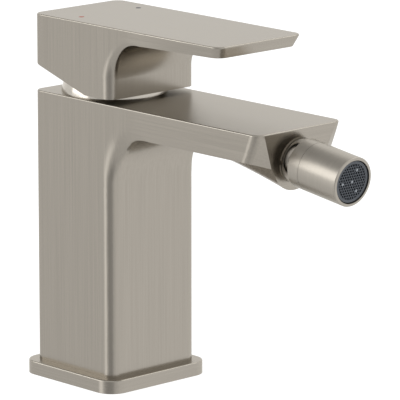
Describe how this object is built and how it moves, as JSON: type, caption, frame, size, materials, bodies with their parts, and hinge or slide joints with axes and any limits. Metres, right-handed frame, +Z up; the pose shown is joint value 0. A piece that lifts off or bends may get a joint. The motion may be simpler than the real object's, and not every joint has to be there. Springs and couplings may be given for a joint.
{
  "type": "bidet mixer",
  "caption": "Lever-operated bidet mixer: a square column on a foot plate, a flat spout with a rounded belly, an overhanging lever on a domed collar and a swivelling aerator nozzle.",
  "frame": {"origin": "on the column's vertical axis, in the plane of the basin deck, at the mouth of the fixing thread", "axes": "+X out along the spout towards the user, +Y towards the user's right, +Z up"},
  "size_m": [0.1626, 0.0542, 0.1473],
  "materials": {
    "satin_nickel": "warm grey nickel plate, brushed in fine straight lines",
    "turned_nickel": "warm grey nickel plate, brushed round the axis",
    "nickel_plug": "plastic plug coloured to match the plate",
    "raw_brass": "machined, unplated inside the body",
    "stainless": "plain stainless steel",
    "disc_ceramic": "sintered alumina, ground flat",
    "cartridge_white": "moulded acetal",
    "cartridge_grey": "moulded glass-filled nylon",
    "stop_red": "moulded red nylon",
    "seal_rubber": "black nitrile rubber",
    "liner_ptfe": "white PTFE",
    "aerator_dark": "dark blue-grey moulded plastic",
    "mark_red": "red enamel dot, hot side",
    "mark_blue": "blue enamel dot, cold side"
  },
  "bodies": {
    "column": {"base_plate": "satin_nickel", "base_seal": "seal_rubber", "foot_seal": "seal_rubber", "body": "satin_nickel", "water_core": "raw_brass", "riser_seals": "seal_rubber", "core_screws": "stainless", "collar": "turned_nickel", "cartridge_nut": "raw_brass", "cartridge_base": "cartridge_grey", "cartridge_inlet_seals": "seal_rubber", "cartridge_ring_seal": "seal_rubber", "cartridge_housing": "cartridge_white", "fixed_disc": "disc_ceramic", "temperature_stop_ring": "stop_red", "socket_ring": "turned_nickel", "ball_seal": "seal_rubber"},
    "carrier": {"spindle_carrier": "cartridge_grey", "spindle_pin": "stainless"},
    "lever": {"lever": "satin_nickel", "spindle": "raw_brass", "lever_screw": "stainless", "lever_plug": "nickel_plug", "hot_mark": "mark_red", "cold_mark": "mark_blue"},
    "disc": {"moving_disc": "disc_ceramic", "disc_driver": "cartridge_grey"},
    "liner": {"ball_liner": "liner_ptfe"},
    "ball": {"swivel_ball": "turned_nickel", "neck_seal": "seal_rubber", "swivel_nut": "raw_brass"},
    "nozzle": {"nozzle_ring": "turned_nickel", "nozzle_sleeve": "turned_nickel", "aerator_seal": "seal_rubber", "aerator_housing": "aerator_dark", "aerator_grid": "aerator_dark", "aerator_core": "cartridge_white", "aerator_screen": "stainless"}
  },
  "joints": [
    {"name": "lever_turn", "type": "hinge", "parent": "column", "child": "carrier", "pos_m": [0, 0, 0.114], "axis": [0, 0, 1], "range_deg": [-45, 45]},
    {"name": "lever_lift", "type": "hinge", "parent": "carrier", "child": "lever", "pos_m": [0, 0, 0.114], "axis": [0, -1, 0], "range_deg": [0, 22]},
    {"name": "disc_slide", "type": "slide", "parent": "carrier", "child": "disc", "axis": [1, 0, 0], "range_m": [0, 0.0034]},
    {"name": "nozzle_tilt", "type": "hinge", "parent": "column", "child": "liner", "pos_m": [0.10034, 0, 0.10439], "axis": [0, 1, 0], "range_deg": [-12, 12]},
    {"name": "nozzle_swing", "type": "hinge", "parent": "liner", "child": "ball", "pos_m": [0.10034, 0, 0.10439], "axis": [0.1342, 0, 0.991], "range_deg": [-12, 12]},
    {"name": "nozzle_spin", "type": "hinge", "parent": "ball", "child": "nozzle", "pos_m": [0.10034, 0, 0.10439], "axis": [0.991, 0, -0.1342], "continuous": true}
  ],
  "couplings": [
    {"joint": "disc_slide", "follows": "lever_lift", "m_per_rad": 0.00882}
  ]
}
